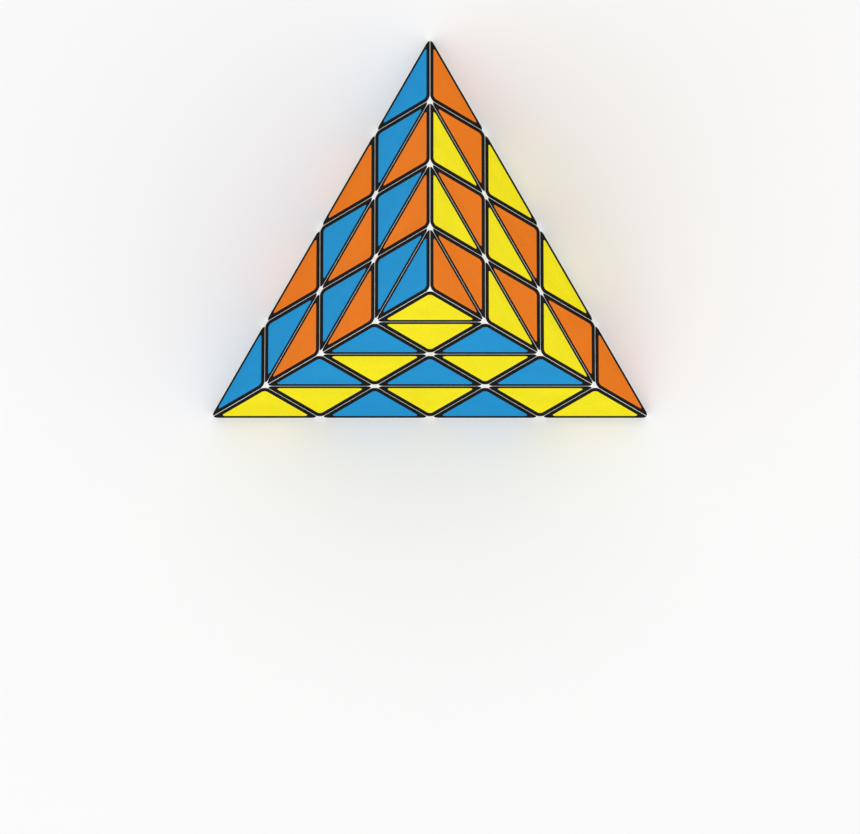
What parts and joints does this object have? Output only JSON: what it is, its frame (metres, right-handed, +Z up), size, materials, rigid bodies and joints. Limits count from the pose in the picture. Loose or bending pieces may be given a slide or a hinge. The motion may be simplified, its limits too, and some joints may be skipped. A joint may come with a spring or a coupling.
{
  "type": "pyramid twisty puzzle",
  "caption": "Pyramid twisty puzzle with turning corners and tips, four colours of mixed cells in black borders and a sprung ball core.",
  "frame": {"origin": "centre of the green face, which is the face it stands on", "axes": "+Z up from the green face to the top point, +Y towards the back point, +X to the right; the yellow-home face looks towards -Y"},
  "size_m": [0.0988, 0.0858, 0.0806],
  "materials": {
    "body_white": "satin",
    "ball_nylon": "satin",
    "axle_steel": "satin",
    "film_black": "gloss",
    "film_green": "gloss",
    "film_blue": "gloss",
    "film_orange": "gloss",
    "film_yellow": "gloss"
  },
  "bodies": {
    "core": {"core_ball": "ball_nylon", "hub_blocks": "body_white", "axle_screws": "axle_steel", "axle_springs": "axle_steel", "spring_washers": "axle_steel", "middle_edges": "body_white", "face_centres": "body_white", "core_black_films": "film_black", "core_films_blue": "film_blue", "core_films_yellow": "film_yellow", "core_films_orange": "film_orange", "core_films_green": "film_green"},
    "corner_top": {"corner_top_axial": "body_white", "corner_top_wings": "body_white", "corner_top_black_films": "film_black", "corner_top_films_blue": "film_blue", "corner_top_films_yellow": "film_yellow", "corner_top_films_orange": "film_orange"},
    "corner_back": {"corner_back_axial": "body_white", "corner_back_wings": "body_white", "corner_back_black_films": "film_black", "corner_back_films_blue": "film_blue", "corner_back_films_yellow": "film_yellow", "corner_back_films_orange": "film_orange", "corner_back_films_green": "film_green"},
    "corner_left": {"corner_left_axial": "body_white", "corner_left_wings": "body_white", "corner_left_black_films": "film_black", "corner_left_films_blue": "film_blue", "corner_left_films_yellow": "film_yellow", "corner_left_films_orange": "film_orange", "corner_left_films_green": "film_green"},
    "corner_right": {"corner_right_axial": "body_white", "corner_right_wings": "body_white", "corner_right_black_films": "film_black", "corner_right_films_blue": "film_blue", "corner_right_films_yellow": "film_yellow", "corner_right_films_orange": "film_orange", "corner_right_films_green": "film_green"},
    "tip_top": {"tip_top_body": "body_white", "tip_top_black_films": "film_black", "tip_top_film_blue": "film_blue", "tip_top_film_yellow": "film_yellow", "tip_top_film_orange": "film_orange"},
    "tip_back": {"tip_back_body": "body_white", "tip_back_black_films": "film_black", "tip_back_film_blue": "film_blue", "tip_back_film_orange": "film_orange", "tip_back_film_green": "film_green"},
    "tip_left": {"tip_left_body": "body_white", "tip_left_black_films": "film_black", "tip_left_film_blue": "film_blue", "tip_left_film_yellow": "film_yellow", "tip_left_film_green": "film_green"},
    "tip_right": {"tip_right_body": "body_white", "tip_right_black_films": "film_black", "tip_right_film_yellow": "film_yellow", "tip_right_film_orange": "film_orange", "tip_right_film_green": "film_green"}
  },
  "joints": [
    {"name": "corner_top_turn", "type": "hinge", "parent": "core", "child": "corner_top", "pos_m": [0, 0, 0.02041], "axis": [0, 0, 1], "continuous": true},
    {"name": "tip_top_turn", "type": "hinge", "parent": "corner_top", "child": "tip_top", "pos_m": [0, 0, 0.02041], "axis": [0, 0, 1], "continuous": true},
    {"name": "corner_back_turn", "type": "hinge", "parent": "core", "child": "corner_back", "pos_m": [0, 0, 0.02041], "axis": [0, 0.9428, -0.3333], "continuous": true},
    {"name": "tip_back_turn", "type": "hinge", "parent": "corner_back", "child": "tip_back", "pos_m": [0, 0, 0.02041], "axis": [0, 0.9428, -0.3333], "continuous": true},
    {"name": "corner_left_turn", "type": "hinge", "parent": "core", "child": "corner_left", "pos_m": [0, 0, 0.02041], "axis": [-0.8165, -0.4714, -0.3333], "continuous": true},
    {"name": "tip_left_turn", "type": "hinge", "parent": "corner_left", "child": "tip_left", "pos_m": [0, 0, 0.02041], "axis": [-0.8165, -0.4714, -0.3333], "continuous": true},
    {"name": "corner_right_turn", "type": "hinge", "parent": "core", "child": "corner_right", "pos_m": [0, 0, 0.02041], "axis": [0.8165, -0.4714, -0.3333], "continuous": true},
    {"name": "tip_right_turn", "type": "hinge", "parent": "corner_right", "child": "tip_right", "pos_m": [0, 0, 0.02041], "axis": [0.8165, -0.4714, -0.3333], "continuous": true}
  ]
}
